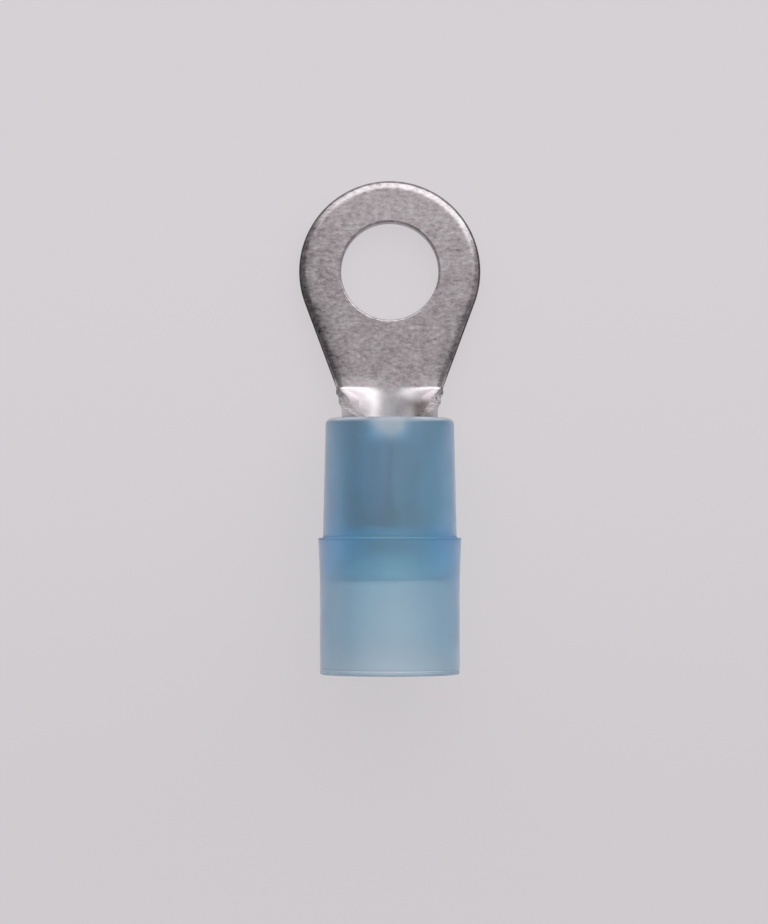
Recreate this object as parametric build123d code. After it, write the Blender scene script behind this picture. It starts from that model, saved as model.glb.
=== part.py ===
from build123d import *
import math
import os

# Insulated ring terminal, millimetres. The stud hole stands on Z and its centre on the tongue's underside
# is the origin. The barrel and sleeve run from it towards -Y, and distances along them are from the hole.

# Ring tongue
STUD_HOLE_DIAMETER = 4.3
RING_DIAMETER = 8.0
STOCK_THICKNESS = 0.8
DIE_ROLL_RADIUS = 0.3
HOLE_EDGE_RADIUS = 0.1
NECK_DISTANCE = 5.5
NECK_WIDTH = 4.44
NECK_ROUNDING = 0.15

# Barrel, rolled up from the neck so that its wings meet in a seam opposite the tongue's underside
BARREL_BORE = 2.6
BARREL_LENGTH = 3.85
SEAM_GAP = 0.04
CURL_LEAD = 0.25
CURL_LENGTH = 1.2
CURL_BEND = 3.5
WING_SETBACK = 0.2
MOUTH_LENGTH = 1.86
MOUTH_BEND = 1.6
FORMING_STATIONS = 33
SERRATION_COUNT = 3
SERRATION_PITCH = 0.9
SERRATION_WIDTH = 0.3
SERRATION_DEPTH = 0.1

# Insulator sleeve: walls and steps are taken outwards from the barrel, lengths rearwards from it
BARREL_CLEARANCE = 0.02
FRONT_SETBACK = 0.1
FRONT_WALL = 0.68
FRONT_EDGE_RADIUS = 0.25
FRONT_LEAD_IN = 0.12
FRONT_DRAFT = 0.12
STEP_SETBACK = 0.35
STEP_HEIGHT = 0.2
COLLAR_EDGE_BREAK = 0.06
COLLAR_LENGTH = 1.85
COLLAR_TAPER = 0.07
REAR_LENGTH = 4.1
REAR_WALL = 0.65
REAR_EDGE_BREAK = 0.1
FLARE_LENGTH = 1.7
LIP_WALL = 0.4
THROAT_LENGTH = 0.5
FUNNEL_SHOULDER = 0.25

# Sizes that follow
RING_RADIUS = RING_DIAMETER / 2
NECK_HALF = NECK_WIDTH / 2
NECK_REACH = math.hypot(NECK_HALF, NECK_DISTANCE)
TANGENT_SWING = math.atan2(NECK_HALF, NECK_DISTANCE) + math.acos(RING_RADIUS / NECK_REACH)
TAPER_ANGLE = math.pi / 2 - TANGENT_SWING
ROLL_WIDTH = DIE_ROLL_RADIUS / math.cos(TAPER_ANGLE)
CREASE = NECK_DISTANCE - CURL_LEAD
CURL_START = CREASE - NECK_ROUNDING
WING_START = NECK_DISTANCE + WING_SETBACK
SEAM_START = WING_START + MOUTH_LENGTH
BARREL_END = SEAM_START + BARREL_LENGTH
BARREL_RADIUS = BARREL_BORE / 2
ROLL_RADIUS = BARREL_RADIUS + STOCK_THICKNESS / 2
WING_HALF = math.pi * ROLL_RADIUS - SEAM_GAP / 2
AXIS_HEIGHT = BARREL_RADIUS + STOCK_THICKNESS
SLEEVE_BORE_RADIUS = AXIS_HEIGHT + BARREL_CLEARANCE
SLEEVE_FRONT = CREASE + CURL_LENGTH + FRONT_SETBACK
FRONT_RADIUS = SLEEVE_BORE_RADIUS + FRONT_WALL
STEP = BARREL_END + STEP_SETBACK
STEP_RADIUS = FRONT_RADIUS + FRONT_DRAFT
COLLAR_RADIUS = STEP_RADIUS + STEP_HEIGHT
COLLAR_END = STEP + COLLAR_LENGTH
REAR_RADIUS = COLLAR_RADIUS - COLLAR_TAPER
ENTRY_RADIUS = REAR_RADIUS - REAR_WALL
SLEEVE_END = COLLAR_END + REAR_LENGTH


def settle(share, bend):
    """0 up to the start, 1 from the end, and between them a rise that slows down."""
    return 1 - (1 - min(max(share, 0.0), 1.0)) ** bend


def rounded_ramp(run):
    """0 before a corner and the run after it, with the corner rounded."""
    if abs(run) < NECK_ROUNDING:
        return (run + NECK_ROUNDING) ** 2 / (4 * NECK_ROUNDING)
    return max(run, 0.0)


def strip_half(distance):
    """Half the flat strip's width: the tongue's taper, the neck, and the wings' sloping shoulders."""
    taper = math.tan(TAPER_ANGLE) * rounded_ramp(NECK_DISTANCE - distance)
    wings = settle(rounded_ramp(distance - WING_START) / MOUTH_LENGTH, MOUTH_BEND)
    return NECK_HALF + taper + (WING_HALF - NECK_HALF) * wings


def ring_tongue():
    """Flat ring and tapered tongue, with the rounded upper edge that blanking leaves."""
    tangent_x = RING_RADIUS * math.sin(TANGENT_SWING)
    tangent_y = -RING_RADIUS * math.cos(TANGENT_SWING)
    right = [(tangent_x, tangent_y), (strip_half(CURL_START), -CURL_START)]
    left = [(-x, y) for x, y in reversed(right)]
    taper = make_face(Polyline(*right, *left, close=True))
    outline = Circle(RING_RADIUS) + taper - Circle(STUD_HOLE_DIAMETER / 2)
    plate = extrude(outline, STOCK_THICKNESS)
    rim = plate.faces().sort_by(Axis.Z)[-1].outer_wire().edges()
    blanked = [edge for edge in rim if edge.center().Y > -CURL_START + 1e-4]
    plate = fillet(blanked, DIE_ROLL_RADIUS)
    hole_rim = plate.faces().sort_by(Axis.Z)[-1].inner_wires()[0].edges()
    return fillet(hole_rim, HOLE_EDGE_RADIUS)


def half_section(distance):
    """Right half of the strip's section at a distance from the hole, bent up round the barrel's axis."""
    curvature = settle(rounded_ramp(distance - CREASE) / CURL_LENGTH, CURL_BEND) / ROLL_RADIUS
    half = strip_half(distance)

    def bent(along, height):
        """Where a point of the flat strip lies once the strip is bent."""
        if curvature == 0.0:
            return (along, height)
        middle = STOCK_THICKNESS / 2 + 1 / curvature
        radius = middle - height
        return (radius * math.sin(along * curvature), middle - radius * math.cos(along * curvature))

    def stretch(along_a, along_b, height):
        """Edge of the bent strip along its width at one height in the stock."""
        if curvature == 0.0:
            return Line(bent(along_a, height), bent(along_b, height))
        ends = bent(along_a, height), bent(along_b, height)
        return ThreePointArc(ends[0], bent((along_a + along_b) / 2, height), ends[1])

    inner_half = half - ROLL_WIDTH
    shear_height = STOCK_THICKNESS - DIE_ROLL_RADIUS
    underside = stretch(0, half, 0)
    cut_face = Line(bent(half, 0), bent(half, shear_height))
    if curvature == 0.0:
        roll = EllipticalCenterArc((inner_half, shear_height), ROLL_WIDTH, DIE_ROLL_RADIUS, arc_size=90)
    else:
        roll = ThreePointArc(
            bent(half, shear_height),
            bent(inner_half + ROLL_WIDTH * math.sqrt(0.5), shear_height + DIE_ROLL_RADIUS * math.sqrt(0.5)),
            bent(inner_half, STOCK_THICKNESS),
        )
    upper = stretch(inner_half, 0, STOCK_THICKNESS)
    middle_line = Line(bent(0, STOCK_THICKNESS), bent(0, 0))
    plane = Plane(origin=(0, -distance, 0), x_dir=(1, 0, 0), z_dir=(0, -1, 0))
    return plane * make_face([underside, cut_face, roll, upper, middle_line])


def rolled_barrel():
    """Neck curling into the barrel, with the open mouth between its wings and the closed tube behind."""
    reach = SEAM_START - CURL_START
    distances = [CURL_START + reach * i / (FORMING_STATIONS - 1) for i in range(FORMING_STATIONS)]
    sections = [half_section(distance) for distance in distances]
    half = loft(sections) + extrude(sections[-1], BARREL_LENGTH)
    barrel = half + mirror(half, about=Plane.YZ)
    first = SEAM_START + (BARREL_LENGTH - (SERRATION_COUNT - 1) * SERRATION_PITCH) / 2
    for i in range(SERRATION_COUNT):
        barrel -= serration(first + i * SERRATION_PITCH)
    return barrel


def serration(distance):
    """Ring to cut a shallow groove round the bore, which grips the conductor."""
    depth_radius = BARREL_RADIUS + SERRATION_DEPTH
    plane = Plane(origin=(0, -distance, AXIS_HEIGHT), z_dir=(0, -1, 0))
    ring = Circle(depth_radius) - Circle(BARREL_RADIUS / 2)
    return extrude(plane * ring, SERRATION_WIDTH / 2, both=True)


def insulator_sleeve():
    """Stepped tube turned round the barrel's axis, with a seat for the barrel and a funnel for the wire."""
    outline = [
        (SLEEVE_FRONT, SLEEVE_BORE_RADIUS + FRONT_LEAD_IN),
        (SLEEVE_FRONT, FRONT_RADIUS),
        (STEP, STEP_RADIUS),
        (STEP, COLLAR_RADIUS),
        (COLLAR_END, REAR_RADIUS),
        (SLEEVE_END, REAR_RADIUS),
        (SLEEVE_END, REAR_RADIUS - LIP_WALL),
        (SLEEVE_END - FLARE_LENGTH, ENTRY_RADIUS),
        (COLLAR_END, ENTRY_RADIUS),
        (COLLAR_END, ENTRY_RADIUS - FUNNEL_SHOULDER),
        (BARREL_END + THROAT_LENGTH, BARREL_RADIUS),
        (BARREL_END, BARREL_RADIUS),
        (BARREL_END, SLEEVE_BORE_RADIUS),
        (SLEEVE_FRONT + FRONT_LEAD_IN, SLEEVE_BORE_RADIUS),
    ]
    profile = make_face(Polyline(*outline, close=True))
    front_edge = min(FRONT_EDGE_RADIUS, (FRONT_WALL - FRONT_LEAD_IN) / 2)
    front_corner = profile.vertices().sort_by_distance((SLEEVE_FRONT, FRONT_RADIUS))[0]
    profile = fillet(front_corner, front_edge)
    collar_corner = profile.vertices().sort_by_distance((STEP, COLLAR_RADIUS))[0]
    profile = chamfer(collar_corner, COLLAR_EDGE_BREAK)
    rear_corner = profile.vertices().sort_by_distance((SLEEVE_END, REAR_RADIUS))[0]
    profile = chamfer(rear_corner, REAR_EDGE_BREAK)
    plane = Plane(origin=(0, 0, AXIS_HEIGHT), x_dir=(0, -1, 0), z_dir=(-1, 0, 0))
    return revolve(plane * profile, axis=Axis((0, 0, AXIS_HEIGHT), (0, -1, 0)))


os.makedirs("parts", exist_ok=True)
terminal_body = ring_tongue() + rolled_barrel()
export_step(terminal_body, "parts/terminal_body.step")
export_step(insulator_sleeve(), "parts/insulator_sleeve.step")
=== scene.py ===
import math

import bmesh
import bpy
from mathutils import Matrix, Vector


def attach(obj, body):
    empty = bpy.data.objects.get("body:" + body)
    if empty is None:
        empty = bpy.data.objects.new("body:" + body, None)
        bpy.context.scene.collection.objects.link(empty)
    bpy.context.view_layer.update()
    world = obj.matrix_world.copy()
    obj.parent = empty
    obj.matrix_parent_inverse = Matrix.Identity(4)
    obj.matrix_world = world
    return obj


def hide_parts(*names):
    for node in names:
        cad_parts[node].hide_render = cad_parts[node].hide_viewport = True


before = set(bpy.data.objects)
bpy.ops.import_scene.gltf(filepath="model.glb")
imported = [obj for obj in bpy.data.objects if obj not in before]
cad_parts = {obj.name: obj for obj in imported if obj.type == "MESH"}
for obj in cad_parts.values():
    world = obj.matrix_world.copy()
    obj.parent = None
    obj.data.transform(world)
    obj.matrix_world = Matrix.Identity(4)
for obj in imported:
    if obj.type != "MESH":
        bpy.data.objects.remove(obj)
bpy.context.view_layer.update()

MM = 0.001

# Sizes of the CAD model, in millimetres
STUD_HOLE_RADIUS = 2.15
RING_RADIUS = 4.0
STOCK = 0.8
DIE_ROLL = 0.3
HOLE_EDGE = 0.1
NECK_DISTANCE = 5.5
NECK_HALF = 2.22
NECK_ROUNDING = 0.15
BARREL_RADIUS = 1.3
BARREL_LENGTH = 3.85
SEAM_GAP = 0.04
CURL_LEAD = 0.25
CURL_LENGTH = 1.2
CURL_BEND = 3.5
WING_SETBACK = 0.2
MOUTH_LENGTH = 1.86
MOUTH_BEND = 1.6
SERRATION_COUNT = 3
SERRATION_PITCH = 0.9
SERRATION_WIDTH = 0.3
SERRATION_DEPTH = 0.1
BARREL_CLEARANCE = 0.02
FRONT_SETBACK = 0.1
FRONT_WALL = 0.68
FRONT_EDGE = 0.25
FRONT_LEAD_IN = 0.12
FRONT_DRAFT = 0.12
STEP_SETBACK = 0.35
STEP_HEIGHT = 0.2
COLLAR_EDGE = 0.06
COLLAR_LENGTH = 1.85
COLLAR_TAPER = 0.07
REAR_LENGTH = 4.1
REAR_WALL = 0.65
REAR_EDGE = 0.1
FLARE_LENGTH = 1.7
LIP_WALL = 0.4
THROAT_LENGTH = 0.5
FUNNEL_SHOULDER = 0.25

# Sizes that follow from them
NECK_REACH = math.hypot(NECK_HALF, NECK_DISTANCE)
TANGENT_SWING = math.atan2(NECK_HALF, NECK_DISTANCE) + math.acos(RING_RADIUS / NECK_REACH)
TAPER = math.pi / 2 - TANGENT_SWING
CREASE = NECK_DISTANCE - CURL_LEAD
CURL_START = CREASE - NECK_ROUNDING
WING_START = NECK_DISTANCE + WING_SETBACK
SEAM_START = WING_START + MOUTH_LENGTH
BARREL_END = SEAM_START + BARREL_LENGTH
ROLL_RADIUS = BARREL_RADIUS + STOCK / 2
WING_HALF = math.pi * ROLL_RADIUS - SEAM_GAP / 2
AXIS_HEIGHT = BARREL_RADIUS + STOCK
SLEEVE_BORE = AXIS_HEIGHT + BARREL_CLEARANCE
SLEEVE_FRONT = CREASE + CURL_LENGTH + FRONT_SETBACK
FRONT_RADIUS = SLEEVE_BORE + FRONT_WALL
STEP = BARREL_END + STEP_SETBACK
STEP_RADIUS = FRONT_RADIUS + FRONT_DRAFT
COLLAR_RADIUS = STEP_RADIUS + STEP_HEIGHT
COLLAR_END = STEP + COLLAR_LENGTH
REAR_RADIUS = COLLAR_RADIUS - COLLAR_TAPER
ENTRY_RADIUS = REAR_RADIUS - REAR_WALL
SLEEVE_END = COLLAR_END + REAR_LENGTH

# Detail of the visual meshes: how far the die roll reaches in, the lines that shearing leaves on the
# wings as (height, depth), the groove at the sleeve's rear rim and the sleeve's moulded roundings
ROLL_REACH = 0.37
SHEAR_LINES = [(0.40, 0.03), (0.20, 0.025)]
SHEAR_LINE_HALF = 0.03
RIM_GROOVE_SETBACK = 0.23
RIM_GROOVE_HALF = 0.04
RIM_GROOVE_DEPTH = 0.03
CRISP_ROUND = 0.02
SHOULDER_ROUND = 0.04
STEP_ROUND = 0.05
LIP_ROUND = 0.06
THROAT_ROUND = 0.2
WIDE_ROUND = 0.4

# Density of the visual meshes
TAPER_STEPS = 24
RING_STEPS = 64
ROLL_STEPS = 9
ACROSS_STEPS = 28
HOLE_EDGE_STEPS = 6
HOLE_WALL_STEPS = 4
CURL_STEPS = 84
FACE_SHARES = [0.0, 0.015, 0.1, 0.25, 0.4, 0.55, 0.7, 0.85, 0.93, 0.985, 1.0]
SLEEVE_SEGMENTS = 224
SLEEVE_SPACING = 0.35
ROUND_STEPS = 6
CRISP_STEPS = 3
WELD_REACH = 2e-4
STRAIGHT = 1e-9
TERMINAL_SHARP = 40
SLEEVE_SHARP = 50

# Material slots of the terminal
FACE = 0
CUT = 1
ROLL = 2


def settle(share, bend):
    """0 up to the start, 1 from the end, and between them a rise that slows down."""
    return 1 - (1 - min(max(share, 0.0), 1.0)) ** bend


def rounded_ramp(run):
    """0 before the corner and the run after it, with the corner rounded."""
    if abs(run) < NECK_ROUNDING:
        return (run + NECK_ROUNDING) ** 2 / (4 * NECK_ROUNDING)
    return max(run, 0.0)


def strip_half(distance):
    """Half the flat strip's width: the tongue's taper, the neck, and the wings' sloping shoulders."""
    taper = math.tan(TAPER) * rounded_ramp(NECK_DISTANCE - distance)
    wings = settle(rounded_ramp(distance - WING_START) / MOUTH_LENGTH, MOUTH_BEND)
    return NECK_HALF + taper + (WING_HALF - NECK_HALF) * wings


def spread(start, end, count):
    """count + 1 values from start to end, evenly spaced."""
    return [start + (end - start) * i / count for i in range(count + 1)]


class Patchwork:
    """Grids of quads that are welded into one mesh."""

    def __init__(self):
        self.points = []
        self.faces = []
        self.slots = []

    def grid(self, rows, slot=0):
        """Quads between rows of points, which all have the same count."""
        first = len(self.points)
        count = len(rows[0])
        for row in rows:
            self.points.extend(row)
        for i in range(len(rows) - 1):
            for j in range(count - 1):
                a = first + i * count + j
                self.faces.append((a, a + 1, a + count + 1, a + count))
                self.slots.append(slot)

    def cap(self, loop, slot=0):
        """One flat face inside a loop of points."""
        first = len(self.points)
        self.points.extend(loop)
        self.faces.append(tuple(range(first, first + len(loop))))
        self.slots.append(slot)

    def build(self, name, materials, sharp_angle):
        """The object, welded, with its normals outwards and its sharp edges marked."""
        mesh = bpy.data.meshes.new(name)
        mesh.from_pydata([Vector(p) * MM for p in self.points], [], self.faces)
        for material in materials:
            mesh.materials.append(material)
        mesh.polygons.foreach_set("material_index", self.slots)
        shape = bmesh.new()
        shape.from_mesh(mesh)
        bmesh.ops.remove_doubles(shape, verts=shape.verts, dist=WELD_REACH * MM)
        bmesh.ops.recalc_face_normals(shape, faces=shape.faces)
        shape.to_mesh(mesh)
        shape.free()
        mesh.shade_smooth()
        mesh.set_sharp_from_angle(angle=math.radians(sharp_angle))
        piece = bpy.data.objects.new(name, mesh)
        bpy.context.scene.collection.objects.link(piece)
        return piece


def tongue_outline():
    """Points (x, y) with outward normals round the ring and neck, from the right neck end to the left."""
    c = math.cos(TAPER)
    s = math.sin(TAPER)
    x0 = strip_half(CURL_START)
    y0 = -CURL_START
    right = [(x0, y0, 1 / c, 0.0)]
    for share in spread(0.0, 1.0, TAPER_STEPS)[1:]:
        x = x0 + (RING_RADIUS * c - x0) * share
        y = y0 + (-RING_RADIUS * s - y0) * share
        right.append((x, y, c, -s))
    for turn in spread(-TAPER, math.pi / 2, RING_STEPS)[1:]:
        nx = math.cos(turn)
        ny = math.sin(turn)
        right.append((RING_RADIUS * nx, RING_RADIUS * ny, nx, ny))
    left = [(-x, y, -nx, ny) for x, y, nx, ny in reversed(right[:-1])]
    return right + left


def edge_profile():
    """The rounded upper edge that blanking leaves, as (inset, height) from the face down to the wall."""
    points = []
    for turn in spread(0.0, math.pi / 2, ROLL_STEPS):
        inset = ROLL_REACH * (1 - math.sin(turn))
        points.append((inset, STOCK - DIE_ROLL * (1 - math.cos(turn))))
    return points


def wall_profile():
    """The cut wall below the rounded edge, as (inset, height), with the lines that shearing leaves."""
    points = [(0.0, STOCK - DIE_ROLL)]
    for height, depth in SHEAR_LINES:
        points.append((0.0, height + SHEAR_LINE_HALF))
        points.append((depth, height))
        points.append((0.0, height - SHEAR_LINE_HALF))
    points.append((0.0, 0.0))
    return points


EDGE_PROFILE = edge_profile()
WALL_PROFILE = wall_profile()


def bent(along, height, distance, curvature):
    """Where a point of the flat strip lies once the strip is bent."""
    if curvature < STRAIGHT:
        return (along, -distance, height)
    middle = STOCK / 2 + 1 / curvature
    radius = middle - height
    angle = along * curvature
    return (radius * math.sin(angle), -distance, middle - radius * math.cos(angle))


def strip_section(distance, groove):
    """The bent strip's upper face, right edge and wall, underside, left wall and edge, as point lists."""
    curvature = settle(rounded_ramp(distance - CREASE) / CURL_LENGTH, CURL_BEND) / ROLL_RADIUS
    half = strip_half(distance)
    widen = 1 / math.cos(TAPER)
    inner = half - ROLL_REACH * widen
    torn = settle((distance - CURL_START) / CURL_LENGTH, 1.0)

    def place(along, height):
        """A point of the section, no higher in the stock than the groove's floor."""
        return bent(along, min(height, STOCK - groove), distance, curvature)

    upper = [place(a, STOCK) for a in spread(-inner, inner, ACROSS_STEPS)]
    right_roll = [place(half - inset * widen, h) for inset, h in EDGE_PROFILE]
    right_wall = [place(half - inset * torn, h) for inset, h in WALL_PROFILE]
    under = [place(a, 0.0) for a in spread(half, -half, ACROSS_STEPS)]
    left_wall = [place(-half + inset * torn, h) for inset, h in reversed(WALL_PROFILE)]
    left_roll = [place(-half + inset * widen, h) for inset, h in reversed(EDGE_PROFILE)]
    return upper, right_roll, right_wall, under, left_wall, left_roll


def annulus(work, outline, inset, height, hole_radius):
    """Face between the hole and the outline, closed across the neck's end. Gives the hole's angles."""
    loop = [(x - nx * inset, y - ny * inset) for x, y, nx, ny in outline]
    end = loop[0][0]
    loop += [(x, -CURL_START) for x in spread(-end, end, ACROSS_STEPS)[1:]]
    rows = []
    for share in FACE_SHARES:
        row = []
        for x, y in loop:
            reach = math.hypot(x, y)
            scale = (hole_radius + (reach - hole_radius) * share) / reach
            row.append((x * scale, y * scale, height))
        rows.append(row)
    work.grid(rows, FACE)
    return [math.atan2(y, x) for x, y in loop]


def stud_hole(work, top_angles, under_angles):
    """The hole's rounded upper edge and its wall."""
    edge_rows = []
    for turn in spread(0.0, math.pi / 2, HOLE_EDGE_STEPS):
        radius = STUD_HOLE_RADIUS + HOLE_EDGE * (1 - math.sin(turn))
        height = STOCK - HOLE_EDGE * (1 - math.cos(turn))
        edge_rows.append([(radius * math.cos(a), radius * math.sin(a), height) for a in top_angles])
    # The outer two rows of the rounded edge take the darker cut material, a painted dark line round the
    # hole
    work.grid(edge_rows[:2], CUT)
    work.grid(edge_rows[1:], FACE)
    wall_rows = []
    for share in spread(0.0, 1.0, HOLE_WALL_STEPS):
        height = (STOCK - HOLE_EDGE) * (1 - share)
        row = []
        for a, b in zip(top_angles, under_angles):
            swing = (b - a + math.pi) % (2 * math.pi) - math.pi
            turn = a + swing * share
            row.append((STUD_HOLE_RADIUS * math.cos(turn), STUD_HOLE_RADIUS * math.sin(turn), height))
        wall_rows.append(row)
    work.grid(wall_rows, FACE)


def barrel_stations():
    """Distances and groove depths of the sections, from the flat neck to the barrel's end."""
    stations = [(d, 0.0) for d in spread(CURL_START, SEAM_START, CURL_STEPS)]
    first = SEAM_START + (BARREL_LENGTH - (SERRATION_COUNT - 1) * SERRATION_PITCH) / 2
    for i in range(SERRATION_COUNT):
        start = first + i * SERRATION_PITCH - SERRATION_WIDTH / 2
        end = start + SERRATION_WIDTH
        stations += [(start, 0.0), (start, SERRATION_DEPTH), (end, SERRATION_DEPTH), (end, 0.0)]
    stations.append((BARREL_END, 0.0))
    return stations


def terminal_mesh(materials):
    """Ring tongue and rolled barrel, one stamping."""
    work = Patchwork()
    outline = tongue_outline()
    top_angles = annulus(work, outline, ROLL_REACH, STOCK, STUD_HOLE_RADIUS + HOLE_EDGE)
    under_angles = annulus(work, outline, 0.0, 0.0, STUD_HOLE_RADIUS)
    plain_wall = [(0.0, height) for _, height in WALL_PROFILE]
    for profile, slot in ((EDGE_PROFILE, ROLL), (plain_wall, CUT)):
        rows = []
        for inset, height in profile:
            rows.append([(x - nx * inset, y - ny * inset, height) for x, y, nx, ny in outline])
        work.grid(rows, slot)
    stud_hole(work, top_angles, under_angles)
    sections = [strip_section(distance, groove) for distance, groove in barrel_stations()]
    for side, slot in enumerate((FACE, ROLL, CUT, FACE, CUT, ROLL)):
        work.grid([section[side] for section in sections], slot)
    loop = []
    for side in sections[-1]:
        loop += side[:-1]
    work.cap(loop, CUT)
    return work.build("terminal", materials, TERMINAL_SHARP)


def rounded(corner, before, after, radius, count):
    """Points of a small arc that rounds a corner of a profile."""
    corner = Vector(corner)
    a = (Vector(before) - corner).normalized()
    b = (Vector(after) - corner).normalized()
    half = math.acos(max(-1.0, min(1.0, a.dot(b)))) / 2
    reach = radius / math.tan(half)
    centre = corner + (a + b).normalized() * (radius / math.sin(half))
    start = corner + a * reach - centre
    finish = corner + b * reach - centre
    turn = math.acos(max(-1.0, min(1.0, start.dot(finish) / radius**2)))
    points = []
    for share in spread(0.0, 1.0, count):
        mix = start * math.sin((1 - share) * turn) + finish * math.sin(share * turn)
        points.append(tuple(centre + mix / math.sin(turn)))
    return points


def sleeve_profile():
    """Closed outline of the sleeve's wall, as (distance, radius), with its moulded roundings."""
    groove = SLEEVE_END - RIM_GROOVE_SETBACK
    corners = [
        ((SLEEVE_FRONT, SLEEVE_BORE + FRONT_LEAD_IN), CRISP_ROUND),
        ((SLEEVE_FRONT, FRONT_RADIUS), FRONT_EDGE),
        ((STEP, STEP_RADIUS), STEP_ROUND),
        ((STEP, COLLAR_RADIUS), COLLAR_EDGE),
        ((COLLAR_END, REAR_RADIUS), WIDE_ROUND),
        ((groove - RIM_GROOVE_HALF, REAR_RADIUS), CRISP_ROUND),
        ((groove, REAR_RADIUS - RIM_GROOVE_DEPTH), CRISP_ROUND),
        ((groove + RIM_GROOVE_HALF, REAR_RADIUS), CRISP_ROUND),
        ((SLEEVE_END, REAR_RADIUS), REAR_EDGE),
        ((SLEEVE_END, REAR_RADIUS - LIP_WALL), LIP_ROUND),
        ((SLEEVE_END - FLARE_LENGTH, ENTRY_RADIUS), WIDE_ROUND),
        ((COLLAR_END, ENTRY_RADIUS), SHOULDER_ROUND),
        ((COLLAR_END, ENTRY_RADIUS - FUNNEL_SHOULDER), SHOULDER_ROUND),
        ((BARREL_END + THROAT_LENGTH, BARREL_RADIUS), THROAT_ROUND),
        ((BARREL_END, BARREL_RADIUS), CRISP_ROUND),
        ((BARREL_END, SLEEVE_BORE), CRISP_ROUND),
        ((SLEEVE_FRONT + FRONT_LEAD_IN, SLEEVE_BORE), CRISP_ROUND),
    ]
    points = []
    for i, (corner, radius) in enumerate(corners):
        before = corners[i - 1][0]
        after = corners[(i + 1) % len(corners)][0]
        steps = ROUND_STEPS if radius > CRISP_ROUND else CRISP_STEPS
        points += rounded(corner, before, after, radius, steps)
    dense = []
    for i, point in enumerate(points):
        after = points[(i + 1) % len(points)]
        steps = max(1, math.ceil(math.dist(point, after) / SLEEVE_SPACING))
        dense += [tuple(Vector(point).lerp(Vector(after), k / steps)) for k in range(steps)]
    return dense


def sleeve_mesh(materials):
    """Insulator sleeve, turned round the barrel's axis."""
    work = Patchwork()
    profile = sleeve_profile()
    profile.append(profile[0])
    rows = []
    for turn in spread(0.0, 2 * math.pi, SLEEVE_SEGMENTS):
        row = []
        for distance, radius in profile:
            row.append((radius * math.sin(turn), -distance, AXIS_HEIGHT + radius * math.cos(turn)))
        rows.append(row)
    work.grid(rows)
    return work.build("sleeve", materials, SLEEVE_SHARP)


class Graph:
    """The nodes of one tree, with short ways to add and link them."""

    def __init__(self, tree):
        self.nodes = tree.nodes
        self.links = tree.links

    def feed(self, socket, value):
        """Set a socket to a number or a colour, or link it to another socket."""
        if isinstance(value, tuple):
            socket.default_value = (*value, 1.0)
        elif isinstance(value, (int, float)):
            socket.default_value = value
        else:
            self.links.new(value, socket)

    def op(self, operation, a, b=None):
        """A math node of one or two values."""
        made = self.nodes.new("ShaderNodeMath")
        made.operation = operation
        self.feed(made.inputs[0], a)
        if b is not None:
            self.feed(made.inputs[1], b)
        return made.outputs["Value"]

    def add(self, a, b):
        return self.op("ADD", a, b)

    def sub(self, a, b):
        return self.op("SUBTRACT", a, b)

    def mul(self, a, b):
        return self.op("MULTIPLY", a, b)

    def larger(self, a, b):
        return self.op("MAXIMUM", a, b)

    def size(self, a):
        return self.op("ABSOLUTE", a)

    def rest(self, a):
        """What is left of 1."""
        return self.op("SUBTRACT", 1.0, a)

    def ramp(self, value, span, levels=(0.0, 1.0), kind="SMOOTHSTEP"):
        """Rise or fall from the first level to the second, as the value crosses a span."""
        made = self.nodes.new("ShaderNodeMapRange")
        made.interpolation_type = kind
        for name, limit in zip(("From Min", "From Max", "To Min", "To Max"), (*span, *levels)):
            made.inputs[name].default_value = limit
        self.links.new(value, made.inputs["Value"])
        return made.outputs["Result"]

    def zone(self, distance, span, levels=(0.0, 1.0)):
        """Ramp across a span that is in millimetres."""
        return self.ramp(distance, (span[0] * MM, span[1] * MM), levels)

    def even(self, value, levels):
        """Straight ramp across the usual range of a noise."""
        return self.ramp(value, NOISE_RANGE, levels, "LINEAR")

    def mix(self, factor, a, b):
        """Mix of two colours, each a colour or a socket."""
        made = self.nodes.new("ShaderNodeMix")
        made.data_type = "RGBA"
        for socket, value in zip((made.inputs[0], made.inputs[6], made.inputs[7]), (factor, a, b)):
            self.feed(socket, value)
        return made.outputs[2]

    def vector(self, operation, a):
        """A vector math node, with its first input linked."""
        made = self.nodes.new("ShaderNodeVectorMath")
        made.operation = operation
        self.links.new(a, made.inputs[0])
        return made

    def axes(self, vector):
        """The three axes of a vector."""
        split = self.nodes.new("ShaderNodeSeparateXYZ")
        self.links.new(vector, split.inputs[0])
        return split.outputs["X"], split.outputs["Y"], split.outputs["Z"]

    def place(self):
        """Position on the object."""
        return self.nodes.new("ShaderNodeTexCoord").outputs["Object"]

    def noise(self, vector, scale, detail, roughness, stretch=(1.0, 1.0, 1.0)):
        """Noise whose scale is in features per millimetre, stretched by its axes."""
        mapping = self.nodes.new("ShaderNodeMapping")
        mapping.inputs["Scale"].default_value = stretch
        self.links.new(vector, mapping.inputs["Vector"])
        made = self.nodes.new("ShaderNodeTexNoise")
        made.inputs["Scale"].default_value = scale / MM
        made.inputs["Detail"].default_value = detail
        made.inputs["Roughness"].default_value = roughness
        self.links.new(mapping.outputs["Vector"], made.inputs["Vector"])
        return made.outputs["Fac"]


def new_material(name):
    """A material with its graph and its Principled shader."""
    made = bpy.data.materials.new(name)
    made.use_nodes = True
    graph = Graph(made.node_tree)
    return made, graph, graph.nodes["Principled BSDF"]


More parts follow.
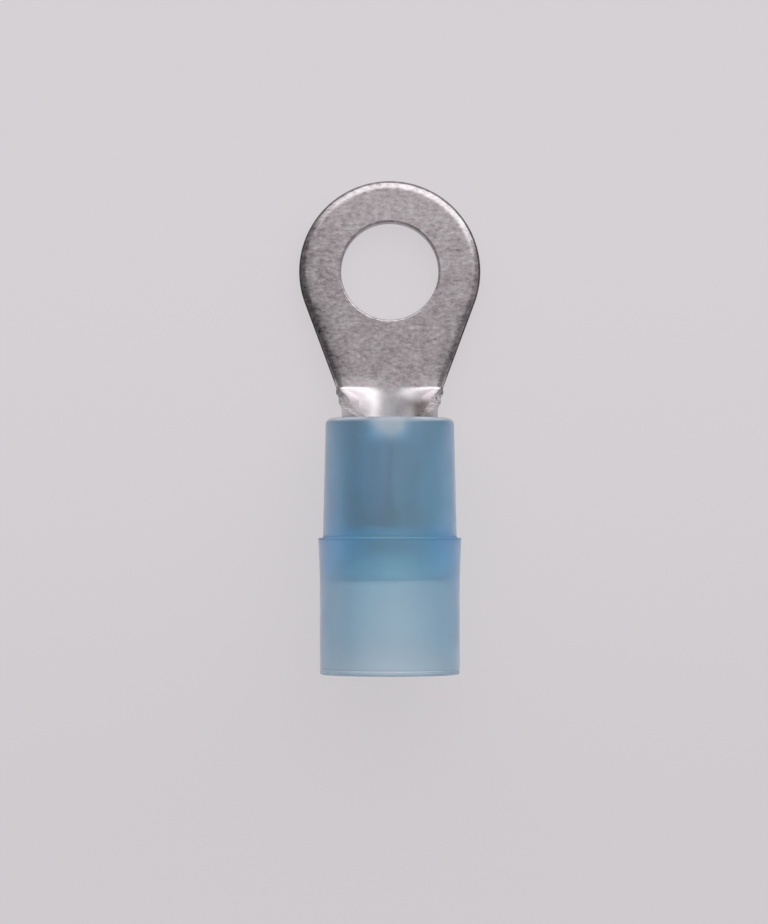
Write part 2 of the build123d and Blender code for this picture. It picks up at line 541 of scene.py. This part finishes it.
# Patterns of the tin plate, the ranges of noise that show, and how much of the tone each one takes or adds
NOISE_RANGE = (0.3, 0.7)
TINT_RANGE = (0.35, 0.65)
CLOUD = dict(scale=1.5, detail=3.0, roughness=0.6)
MOTTLE = dict(scale=5.0, detail=4.0, roughness=0.7, stretch=(0.75, 1.25, 1.0))
STREAK = dict(scale=3.4, detail=5.0, roughness=0.75, stretch=(0.35, 1.9, 1.0))
PIT = dict(scale=7.0, detail=3.0, roughness=0.6, stretch=(0.7, 1.3, 1.0))
SPECK = dict(scale=9.0, detail=2.0, roughness=0.5)
DRAWN = dict(scale=1.3, detail=3.0, roughness=0.6, stretch=(1.0, 0.2, 1.0))
CLOUD_TONE = 0.14
MOTTLE_TONE = 0.32
STREAK_RANGE = (0.56, 0.74)
STREAK_TONE = 0.38
PIT_RANGE = (0.64, 0.72)
PIT_TONE = 0.4
SPECK_RANGE = (0.66, 0.76)
SPECK_TONE = 0.3

# Zones of the flat tongue, in millimetres along X or Y or in from its outline, with the painted light and
# shade that they add to the tone
TAPER_Y = (-1.2, -1.6)
# Painted light towards the ring's far side, and painted shade to the left
FAR_Y = (-1.0, 4.0)
FAR_PAINTED_LIGHT = 0.13
LEFT_X = (-4.2, -1.5)
LEFT_PAINTED_SHADE = -0.16
# Painted highlight at the crease, most at the left
CREASE_Y = (-4.5, -5.1)
CREASE_LEFT_X = (0.2, -1.3)
CREASE_LEFT_HIGHLIGHTS = (0.12, 0.6)
CREASE_RIGHT_X = (0.9, 1.7)
CREASE_RIGHT_HIGHLIGHT = 0.25
# Painted shade in a band along the outline, which is also smoother there
EDGE_WIDTH = (ROLL_REACH + 0.03, 0.15)
EDGE_PAINTED_SHADE = 0.15
EDGE_SMOOTHING = -0.14
# Painted shade along the outline, most at the left, and a wider band of it beside the tapers
OUTLINE_SHADE_WIDTH = (0.15, 0.8)
LEFT_OUTLINE_SHADE_X = (-1.2, -2.4)
LEFT_OUTLINE_SHADE_Y = (1.8, 0.4)
LEFT_OUTLINE_SHADE = 0.15
RIGHT_OUTLINE_SHADE_X = (1.2, 2.4)
RIGHT_OUTLINE_SHADE = 0.16
LEFT_TAPER_SHADE_X = (-0.6, -1.6)
LEFT_TAPER_SHADE = 0.27
RIGHT_TAPER_SHADE_X = (0.6, 1.6)
RIGHT_TAPER_SHADE = 0.11
TAPER_SHADE_START = (0.1, 0.5)
TAPER_SHADE_START_SHARE = 0.35
TAPER_SHADE_WIDTH = (0.25, 1.1)

# Zones of the formed neck and of the barrel, which the sleeve covers, with painted highlights, a painted
# dark reflection and painted shade under the sleeve
FORMED_Y = (-5.0, -5.4)
GRAIN_Y = (-4.9, -5.5)
FORMED_GRAIN = 0.25
TORN_GRAIN = 1.7
TORN_Y = (-6.2, -6.6)
TORN_COVERED_SHARE = 0.2
# Painted highlight on the right wing's cut face
RIGHT_CUT_HIGHLIGHT_X = (1.2, 1.7)
RIGHT_CUT_HIGHLIGHT = 0.4
# Painted highlight at the wings' corners beside the crease, as strong as each tin's corner
CORNER_HIGHLIGHT_Y = (-5.88, -5.5)
# Painted dark reflection, tinted brown, on the right wall of the neck's trough
DARK_WEDGE_X = (0.9, 1.25)
DARK_WEDGE_END_X = (1.85, 1.5)
DARK_WEDGE_Y = (-5.6, -6.0)
DARK_WEDGE_SHADE = 0.3
# Painted highlight on the left wall of the neck's trough
TROUGH_HIGHLIGHT_X = (-0.1, -0.8)
TROUGH_HIGHLIGHT = 0.25
BESIDE_X = (0.45, 1.1)
# Painted highlight, pink, on the middle of the neck where it goes under the sleeve's front
MOUTH_Y = (-6.35, -6.6)
MOUTH_HIGHLIGHT = 0.4
# Painted shade on the metal that the sleeve covers, streaked by drawn noise and deepest towards the
# barrel's end
COVERED_SIDE_Y = (-6.35, -6.8)
COVERED_Y = (-7.0, -7.8)
COVERED_SHADES = (-0.5, -0.1)
BARREL_END_Y = (-9.6, -11.0)
BARREL_END_SHADE = 0.2
LEAN_X = (-0.2, -1.0)
LEAN_END_X = (-1.6, -1.4)
LEAN_Y = (-5.5, -5.9)

TIN_WARM = (0.63, 0.57, 0.595)
TIN_COOL = (0.615, 0.585, 0.595)
TIN_FORMED = (0.61, 0.59, 0.602)
# Brown tint of the painted dark reflection in the trough
DARK_WEDGE_TINT = (0.62, 0.57, 0.54)
# Pink tint of the painted highlight at the neck's mouth
MOUTH_HIGHLIGHT_TINT = (0.80, 0.55, 0.57)
# Blue tint of the painted shade under the sleeve
COVERED_SHADE_TINT = (0.53, 0.60, 0.72)
ROUGHNESS_SWING = 0.05


def outline_gap(graph, place, x, y, lower):
    """Distance in from the tongue's outline: from the ring's rim, and lower down from the tapers."""
    flat = graph.vector("MULTIPLY", place)
    flat.inputs[1].default_value = (1.0, 1.0, 0.0)
    reach = graph.vector("LENGTH", flat.outputs[0]).outputs["Value"]
    ring = graph.sub(RING_RADIUS * MM, reach)
    across = graph.mul(graph.size(x), math.cos(TAPER))
    along = graph.mul(y, math.sin(TAPER))
    taper = graph.sub(graph.add(along, RING_RADIUS * MM), across)
    return graph.add(graph.mul(taper, lower), graph.mul(ring, graph.rest(lower)))


def painted_edge_shade(graph, x, y, gap, lower):
    """Painted shade along the tongue's outline, most at the left, and a wider band of painted shade beside
    the tapers.
    """
    left = graph.zone(x, LEFT_OUTLINE_SHADE_X, (0.0, LEFT_OUTLINE_SHADE))
    left = graph.mul(left, graph.zone(y, LEFT_OUTLINE_SHADE_Y))
    right = graph.mul(graph.zone(x, RIGHT_OUTLINE_SHADE_X, (0.0, RIGHT_OUTLINE_SHADE)), lower)
    outline_shade = graph.mul(graph.add(left, right), graph.zone(gap, OUTLINE_SHADE_WIDTH, (1.0, 0.0)))
    taper_shade = graph.add(
        graph.zone(x, LEFT_TAPER_SHADE_X, (0.0, LEFT_TAPER_SHADE)),
        graph.zone(x, RIGHT_TAPER_SHADE_X, (0.0, RIGHT_TAPER_SHADE)),
    )
    taper_shade = graph.mul(taper_shade, lower)
    taper_shade = graph.mul(taper_shade, graph.zone(gap, TAPER_SHADE_START, (TAPER_SHADE_START_SHARE, 1.0)))
    taper_shade = graph.mul(taper_shade, graph.zone(gap, TAPER_SHADE_WIDTH, (1.0, 0.0)))
    return graph.add(outline_shade, taper_shade)


def handling_marks(graph, place, cloud, mottle):
    """Clouds, mottle, streaks across the strip, pits and bright specks, as a change of tone."""
    marks = graph.add(
        graph.even(cloud, (-CLOUD_TONE, CLOUD_TONE)),
        graph.even(mottle, (-MOTTLE_TONE, MOTTLE_TONE)),
    )
    streak = graph.noise(place, **STREAK)
    marks = graph.sub(marks, graph.ramp(streak, STREAK_RANGE, (0.0, STREAK_TONE)))
    pit = graph.noise(place, **PIT)
    marks = graph.sub(marks, graph.ramp(pit, PIT_RANGE, (0.0, PIT_TONE)))
    speck = graph.noise(place, **SPECK)
    return graph.add(marks, graph.ramp(speck, SPECK_RANGE, (0.0, SPECK_TONE)))


def painted_tongue_light(graph, x, y, edge, outline_shade):
    """Painted light on the flat tongue: brighter far away, a painted highlight at the crease, painted shade
    to the left and at its edges.
    """
    tone = graph.add(
        graph.zone(y, FAR_Y, (0.0, FAR_PAINTED_LIGHT)),
        graph.zone(x, LEFT_X, (LEFT_PAINTED_SHADE, 0.0)),
    )
    crease_highlight = graph.add(
        graph.zone(x, CREASE_LEFT_X, CREASE_LEFT_HIGHLIGHTS),
        graph.zone(x, CREASE_RIGHT_X, (0.0, CREASE_RIGHT_HIGHLIGHT)),
    )
    tone = graph.add(tone, graph.mul(crease_highlight, graph.zone(y, CREASE_Y)))
    return graph.sub(tone, graph.add(outline_shade, graph.mul(edge, EDGE_PAINTED_SHADE)))


def leaned_normal(graph, normal, x, y, lean):
    """Normal that leans towards the ring on the left wall of the neck's trough."""
    wall = graph.mul(graph.zone(x, LEAN_X, (0.0, lean)), graph.zone(x, LEAN_END_X))
    wall = graph.mul(wall, graph.zone(y, LEAN_Y))
    push = graph.nodes.new("ShaderNodeCombineXYZ")
    graph.links.new(wall, push.inputs["Y"])
    leaned = graph.vector("ADD", normal)
    graph.links.new(push.outputs[0], leaned.inputs[1])
    return graph.vector("NORMALIZE", leaned.outputs[0]).outputs[0]


def tin(name, tone, roughness, grain, formed_light, formed_roughness, lean=0.0, torn=False, corner=0.0):
    """Tin plate, mottled by handling and smoothed where the neck is formed, unless that is torn, with
    painted light and shade in its tone.
    """
    made, graph, shader = new_material(name)
    place = graph.place()
    x, y, _ = graph.axes(place)
    formed = graph.zone(y, FORMED_Y)
    flat = graph.rest(formed)
    coarse = graph.zone(y, GRAIN_Y, (1.0, TORN_GRAIN if torn else FORMED_GRAIN))
    if torn:
        coarse = graph.mul(coarse, graph.zone(y, TORN_Y, (1.0, TORN_COVERED_SHARE)))
    cloud = graph.noise(place, **CLOUD)
    mottle = graph.noise(place, **MOTTLE)
    marks = handling_marks(graph, place, cloud, mottle)

    lower = graph.zone(y, TAPER_Y)
    gap = outline_gap(graph, place, x, y, lower)
    edge = graph.zone(gap, EDGE_WIDTH)
    # Painted light and shade of the flat tongue
    tongue_light = painted_tongue_light(graph, x, y, edge, painted_edge_shade(graph, x, y, gap, lower))

    # Painted dark reflection on the trough's right wall
    dark_wedge = graph.mul(graph.zone(x, DARK_WEDGE_X), graph.zone(x, DARK_WEDGE_END_X))
    dark_wedge = graph.mul(dark_wedge, graph.zone(y, DARK_WEDGE_Y))
    beside = graph.zone(graph.size(x), BESIDE_X)
    # Painted highlight in the middle of the mouth
    mouth_highlight = graph.mul(graph.zone(y, MOUTH_Y, (0.0, MOUTH_HIGHLIGHT)), graph.rest(beside))
    # Painted light over the formed neck: the trough's highlight and dark reflection, each tin's
    # formed_light, and highlights at the mouth and the wings' corners
    painted_formed_light = graph.zone(x, TROUGH_HIGHLIGHT_X, (0.0, TROUGH_HIGHLIGHT))
    painted_formed_light = graph.sub(painted_formed_light, graph.mul(dark_wedge, DARK_WEDGE_SHADE))
    painted_formed_light = graph.add(painted_formed_light, formed_light)
    painted_formed_light = graph.add(painted_formed_light, mouth_highlight)
    painted_formed_light = graph.add(painted_formed_light, graph.zone(y, CORNER_HIGHLIGHT_Y, (0.0, corner)))
    # Painted highlight on the right wing's cut face
    if torn:
        painted_formed_light = graph.add(painted_formed_light, graph.zone(x, RIGHT_CUT_HIGHLIGHT_X, (0.0, RIGHT_CUT_HIGHLIGHT)))

    # Painted shade under the sleeve, with drawn streaks
    covered = graph.mul(beside, graph.zone(y, COVERED_SIDE_Y))
    covered = graph.larger(covered, graph.zone(y, COVERED_Y))
    inner = graph.even(graph.noise(place, **DRAWN), COVERED_SHADES)
    inner = graph.sub(inner, graph.zone(y, BARREL_END_Y, (0.0, BARREL_END_SHADE)))
    bright = graph.mul(painted_formed_light, graph.rest(covered))
    bright = graph.add(bright, graph.mul(inner, covered))

    shade = graph.add(graph.mul(marks, coarse), tone)
    shade = graph.add(shade, graph.mul(tongue_light, flat))
    shade = graph.add(shade, graph.mul(bright, formed))
    tint = graph.mix(graph.ramp(cloud, TINT_RANGE), TIN_WARM, TIN_COOL)
    tint = graph.mix(formed, tint, TIN_FORMED)
    tint = graph.mix(dark_wedge, tint, DARK_WEDGE_TINT)
    tint = graph.mix(mouth_highlight, tint, MOUTH_HIGHLIGHT_TINT)
    tint = graph.mix(covered, tint, COVERED_SHADE_TINT)
    worn = graph.vector("SCALE", tint)
    graph.links.new(shade, worn.inputs["Scale"])
    graph.links.new(worn.outputs[0], shader.inputs["Base Color"])
    shader.inputs["Metallic"].default_value = 1.0

    rough = graph.even(mottle, (roughness - ROUGHNESS_SWING, roughness + ROUGHNESS_SWING))
    satin = graph.mul(formed, formed_roughness - roughness)
    sheer = graph.mul(graph.mul(edge, flat), EDGE_SMOOTHING)
    rough = graph.add(rough, graph.add(satin, sheer))
    graph.links.new(rough, shader.inputs["Roughness"])

    bump = graph.nodes.new("ShaderNodeBump")
    bump.inputs["Strength"].default_value = 1.0
    bump.inputs["Distance"].default_value = grain * MM
    graph.links.new(graph.mul(mottle, coarse), bump.inputs["Height"])
    normal = bump.outputs["Normal"]
    if lean:
        normal = leaned_normal(graph, normal, x, y, lean)
    graph.links.new(normal, shader.inputs["Normal"])
    return made


# Nylon: tints of its dye, zones in millimetres, and the painted highlights, paleness and shade that some
# zones take
DRIFT = dict(scale=0.9, detail=3.0, roughness=0.6, stretch=(1.0, 0.35, 1.0))
HAZE = dict(scale=0.8, detail=4.0, roughness=0.6)
DYE_TEAL = (0.74, 0.95, 1.0)
DYE_BLUE = (0.81, 0.91, 1.0)
# Pale tint of the painted highlight at the front edge and over the neck's V
FRONT_HIGHLIGHT_TINT = (1.0, 0.98, 1.0)
DYE_BAND = (0.95, 1.0, 1.0)
DYE_THIN = (1.0, 0.96, 0.975)
# Tint of the painted shade at the step's rounded corner
STEP_SHADE_TINT = (0.72, 0.78, 0.78)
ABSORPTION = (0.1, 0.785, 0.98)
ABSORPTION_DENSITY = 600.0
# Painted highlight over the neck's V, seen through the sleeve's front
V_PATCH_X = (0.25, 0.85)
V_PATCH_Y = (-7.7, -6.8)
V_PATCH_HIGHLIGHT = 0.14
FRONT_Y = (-6.85, -6.6)
BAND_Y = (-11.6, -12.0)
THIN_Y = (-13.2, -14.2)
STEP_WIDTH = (0.07, 0.14)
STEP_COAT = 0.1
# Painted highlight round the sleeve's front rim, less in the middle
RIM_REACH = (FRONT_RADIUS - 0.22, FRONT_RADIUS - 0.08)
RIM_Y = (-SLEEVE_FRONT - 0.2, -SLEEVE_FRONT - 0.06)
RIM_X = (0.7, 1.6)
RIM_MIDDLE_SHARE = 0.25
RIM_HIGHLIGHT = 0.53
# Painted paleness on the sleeve's left side
LEFT_PALENESS_X = (-1.5, -2.4)
LEFT_PAINTED_PALENESS = 0.1
CLEARNESS = 0.9
NYLON_ROUGHNESS = (0.56, 0.68)


def nylon():
    """Clear dyed nylon, hazy enough to blur the barrel inside it, with painted highlights at its front edge
    and over the neck's V, painted paleness on its left side and painted shade at the step.
    """
    made, graph, shader = new_material("nylon")
    place = graph.place()
    x, y, z = graph.axes(place)
    # Painted highlight over the neck's V and along the front edge
    patch = graph.zone(graph.size(x), V_PATCH_X, (1.0, 0.0))
    patch = graph.mul(patch, graph.zone(y, V_PATCH_Y))
    front_highlight = graph.larger(patch, graph.zone(y, FRONT_Y))
    drift = graph.ramp(graph.noise(place, **DRIFT), TINT_RANGE)
    dyed = graph.mix(drift, DYE_TEAL, DYE_BLUE)
    dyed = graph.mix(front_highlight, dyed, FRONT_HIGHLIGHT_TINT)
    dyed = graph.mix(graph.zone(y, BAND_Y), dyed, DYE_BAND)
    dyed = graph.mix(graph.zone(y, THIN_Y), dyed, DYE_THIN)
    # Painted shade at the step's rounded corner, which also takes little coat
    off_step = graph.size(graph.add(y, STEP * MM))
    off_step = graph.zone(off_step, STEP_WIDTH, (STEP_COAT, 1.0))
    graph.links.new(graph.mix(off_step, STEP_SHADE_TINT, dyed), shader.inputs["Base Color"])
    graph.links.new(off_step, shader.inputs["Coat Weight"])
    shader.inputs["Coat Roughness"].default_value = 0.25
    shader.inputs["Coat IOR"].default_value = 1.6
    shader.inputs["Sheen Weight"].default_value = 0.3
    shader.inputs["Sheen Roughness"].default_value = 0.4
    shader.inputs["IOR"].default_value = 1.45

    height = graph.sub(z, AXIS_HEIGHT * MM)
    reach = graph.op("SQRT", graph.add(graph.mul(height, height), graph.mul(x, x)))
    # Painted highlight round the front rim
    rim = graph.mul(graph.zone(reach, RIM_REACH), graph.zone(y, RIM_Y))
    rim = graph.mul(rim, graph.zone(graph.size(x), RIM_X, (RIM_MIDDLE_SHARE, 1.0)))
    # Painted paleness on the left, over the V and at the rim, by less clearness
    painted_paleness = graph.zone(x, LEFT_PALENESS_X, (0.0, LEFT_PAINTED_PALENESS))
    painted_paleness = graph.add(painted_paleness, graph.mul(patch, V_PATCH_HIGHLIGHT))
    painted_paleness = graph.add(painted_paleness, graph.mul(rim, RIM_HIGHLIGHT))
    graph.links.new(graph.sub(CLEARNESS, painted_paleness), shader.inputs["Transmission Weight"])
    cloud = graph.noise(place, **HAZE)
    graph.links.new(graph.ramp(cloud, NOISE_RANGE, NYLON_ROUGHNESS), shader.inputs["Roughness"])

    absorb = graph.nodes.new("ShaderNodeVolumeAbsorption")
    absorb.inputs["Color"].default_value = (*ABSORPTION, 1.0)
    absorb.inputs["Density"].default_value = ABSORPTION_DENSITY
    graph.links.new(absorb.outputs["Volume"], graph.nodes["Material Output"].inputs["Volume"])
    return made


# formed_light is the painted light or shade that each tin takes over the formed neck, and corner a painted
# highlight at the wings' corners
tin_face = tin(
    "tin_face", tone=0.97, roughness=0.36, grain=0.005, formed_light=0.15, formed_roughness=0.48, lean=0.4
)
tin_cut = tin(
    "tin_cut",
    tone=0.65,
    roughness=0.56,
    grain=0.05,
    formed_light=-0.02,
    formed_roughness=0.38,
    torn=True,
    corner=0.5,
)
tin_roll = tin(
    "tin_roll", tone=0.97, roughness=0.36, grain=0.003, formed_light=-0.42, formed_roughness=0.35, corner=0.9
)
terminal = terminal_mesh([tin_face, tin_cut, tin_roll])
sleeve = sleeve_mesh([nylon()])
for piece, node, slot in (
    (terminal, "terminal_body", "tinned_copper"),
    (sleeve, "insulator_sleeve", "blue_nylon"),
):
    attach(piece, "root")
    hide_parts(node)

# Floor of pale paper, with painted light falloff towards -Y. Glossy rays see it shaded round the tongue,
# less beyond the ring and in the hole
PAPER = (0.724, 0.694, 0.716)
FLOOR_SLOPE = 0.0657
FLOOR_REACH = 1.0
SHADE_Y = (-6.2, -5.0)
SHADE_DEPTH = 0.9
SHADE_FAR_Y = (2.5, 5.5)
SHADE_FAR_SHARE = 0.5
SHADE_HOLE = (1.9, 2.6)
SHADE_HOLE_SHARE = 0.3
PAPER_LIGHT_FALLOFF_Y = (-26.0, 2.0)
PAPER_LIGHT_FALLOFF = 0.93
GLOW_SHARE = 0.8
GLOW_THROUGH_SHARE = 0.1


def paper():
    """Paper with its own paleness for the rays that see it, and a diffuse share that takes shadows."""
    made, graph, shader = new_material("paper")
    graph.nodes.remove(shader)
    diffuse = graph.nodes.new("ShaderNodeBsdfDiffuse")
    diffuse.inputs["Color"].default_value = (*PAPER, 1.0)
    place = graph.place()
    _, y, _ = graph.axes(place)
    path = graph.nodes.new("ShaderNodeLightPath")
    reach = graph.vector("LENGTH", place).outputs["Value"]
    shade = graph.zone(y, SHADE_Y, (0.0, SHADE_DEPTH))
    shade = graph.mul(shade, graph.zone(y, SHADE_FAR_Y, (1.0, SHADE_FAR_SHARE)))
    shade = graph.mul(shade, graph.zone(reach, SHADE_HOLE, (SHADE_HOLE_SHARE, 1.0)))
    shade = graph.mul(shade, path.outputs["Is Glossy Ray"])
    # Painted light falloff: the paper glows less towards -Y
    light_falloff = graph.zone(y, PAPER_LIGHT_FALLOFF_Y, (PAPER_LIGHT_FALLOFF, 1.0))
    glow = graph.nodes.new("ShaderNodeEmission")
    glow.inputs["Color"].default_value = (*PAPER, 1.0)
    graph.links.new(graph.mul(light_falloff, graph.rest(shade)), glow.inputs["Strength"])
    seen = graph.larger(path.outputs["Is Camera Ray"], path.outputs["Is Glossy Ray"])
    seen = graph.larger(seen, path.outputs["Is Transmission Ray"])
    through = graph.mul(path.outputs["Is Transmission Ray"], GLOW_THROUGH_SHARE)
    lit = graph.nodes.new("ShaderNodeMixShader")
    graph.links.new(graph.add(graph.mul(seen, GLOW_SHARE), through), lit.inputs[0])
    graph.links.new(diffuse.outputs[0], lit.inputs[1])
    graph.links.new(glow.outputs[0], lit.inputs[2])
    clear = graph.nodes.new("ShaderNodeBsdfTransparent")
    both = graph.nodes.new("ShaderNodeMixShader")
    graph.links.new(graph.nodes.new("ShaderNodeNewGeometry").outputs["Backfacing"], both.inputs[0])
    graph.links.new(lit.outputs[0], both.inputs[1])
    graph.links.new(clear.outputs[0], both.inputs[2])
    graph.links.new(both.outputs[0], graph.nodes["Material Output"].inputs["Surface"])
    return made


def floor_height(y):
    """The floor touches the ring's far edge and the sleeve's front, as the terminal lies on a table."""
    return -FLOOR_SLOPE * (RING_RADIUS * MM - y)


floor_corners = []
for right, far in ((-1, -1), (1, -1), (1, 1), (-1, 1)):
    floor_corners.append((right * FLOOR_REACH, far * FLOOR_REACH, floor_height(far * FLOOR_REACH)))
floor_mesh = bpy.data.meshes.new("floor")
floor_mesh.from_pydata(floor_corners, [], [(0, 1, 2, 3)])
floor_mesh.materials.append(paper())
floor = bpy.data.objects.new("floor", floor_mesh)
bpy.context.scene.collection.objects.link(floor)

# Studio light by direction: a bright panel beyond the ring, and a soft ceiling that is darker to the left
# and towards the wire entry
PANEL_TURN = math.radians(81.5)
PANEL_FACING = (0.46, 0.62)
PANEL_TOP = (0.98, 0.92)
PANEL_X = (-0.8, 0.2)
PANEL_LEFT_SHARE = 0.65
PANEL_LIGHT = 1.25
CEILING_LIGHT = 0.37
CEILING_TINT = (1.0, 0.95, 0.97)
CEILING_REAR_Y = (-0.1, -0.6)
CEILING_REAR_SHARE = 0.6
LEFT_SIDE_X = (-0.08, -0.40)
LEFT_SIDE_LIGHT = 0.3
LEFT_GLOSS_Y = (-0.1, 0.4)
LEFT_GLOSS_LOSS = 0.06
THROUGH_PALENESS = 0.95


def studio_world():
    """World that lights by direction, and looks like the paper to the camera and through the nylon."""
    world = bpy.data.worlds.new("studio")
    bpy.context.scene.world = world
    world.use_nodes = True
    graph = Graph(world.node_tree)
    direction = graph.nodes.new("ShaderNodeTexCoord").outputs["Generated"]
    x, y, z = graph.axes(direction)
    path = graph.nodes.new("ShaderNodeLightPath")
    flat = graph.vector("MULTIPLY", direction)
    flat.inputs[1].default_value = (1.0, 1.0, 0.0)
    unit = graph.vector("NORMALIZE", flat.outputs[0])
    facing = graph.vector("DOT_PRODUCT", unit.outputs[0])
    facing.inputs[1].default_value = (math.cos(PANEL_TURN), math.sin(PANEL_TURN), 0.0)
    panel = graph.ramp(facing.outputs["Value"], PANEL_FACING)
    panel = graph.mul(panel, graph.ramp(z, PANEL_TOP))
    panel = graph.mul(panel, graph.ramp(x, PANEL_X, (PANEL_LEFT_SHARE, 1.0)))
    panel = graph.mul(panel, PANEL_LIGHT)
    loss = graph.ramp(y, LEFT_GLOSS_Y, (LEFT_GLOSS_LOSS, 0.0))
    side = graph.sub(LEFT_SIDE_LIGHT, graph.mul(path.outputs["Is Glossy Ray"], loss))
    ceiling = graph.add(
        graph.mul(graph.ramp(x, LEFT_SIDE_X), side),
        graph.ramp(x, LEFT_SIDE_X, (CEILING_LIGHT, 0.0)),
    )
    ceiling = graph.mul(ceiling, graph.ramp(y, CEILING_REAR_Y, (1.0, CEILING_REAR_SHARE)))
    light = graph.nodes.new("ShaderNodeCombineColor")
    for socket, share in zip(light.inputs, CEILING_TINT):
        graph.links.new(graph.add(panel, graph.mul(ceiling, share)), socket)
    through = graph.mul(path.outputs["Is Transmission Ray"], THROUGH_PALENESS)
    pale = graph.larger(path.outputs["Is Camera Ray"], through)
    graph.links.new(graph.mix(pale, light.outputs[0], PAPER), graph.nodes["Background"].inputs["Color"])


studio_world()

# Camera above the terminal, nearly straight down
PICTURE_HEIGHT = 924
FOCAL_PIXELS = 3500
SENSOR = 36.0
CAMERA_PLACE = (-0.2535, -12.184, 154.8)
CAMERA_TILT = math.radians(1.40)
CLIP_START = 0.005
CLIP_END = 10.0
camera_data = bpy.data.cameras.new("camera")
camera_data.sensor_fit = "AUTO"
camera_data.sensor_width = SENSOR
camera_data.lens = SENSOR * FOCAL_PIXELS / PICTURE_HEIGHT
camera_data.clip_start = CLIP_START
camera_data.clip_end = CLIP_END
camera = bpy.data.objects.new("camera", camera_data)
camera.location = [place * MM for place in CAMERA_PLACE]
camera.rotation_euler = (CAMERA_TILT, 0.0, 0.0)
bpy.context.scene.collection.objects.link(camera)
bpy.context.scene.camera = camera

bpy.context.scene.view_settings.view_transform = "Standard"
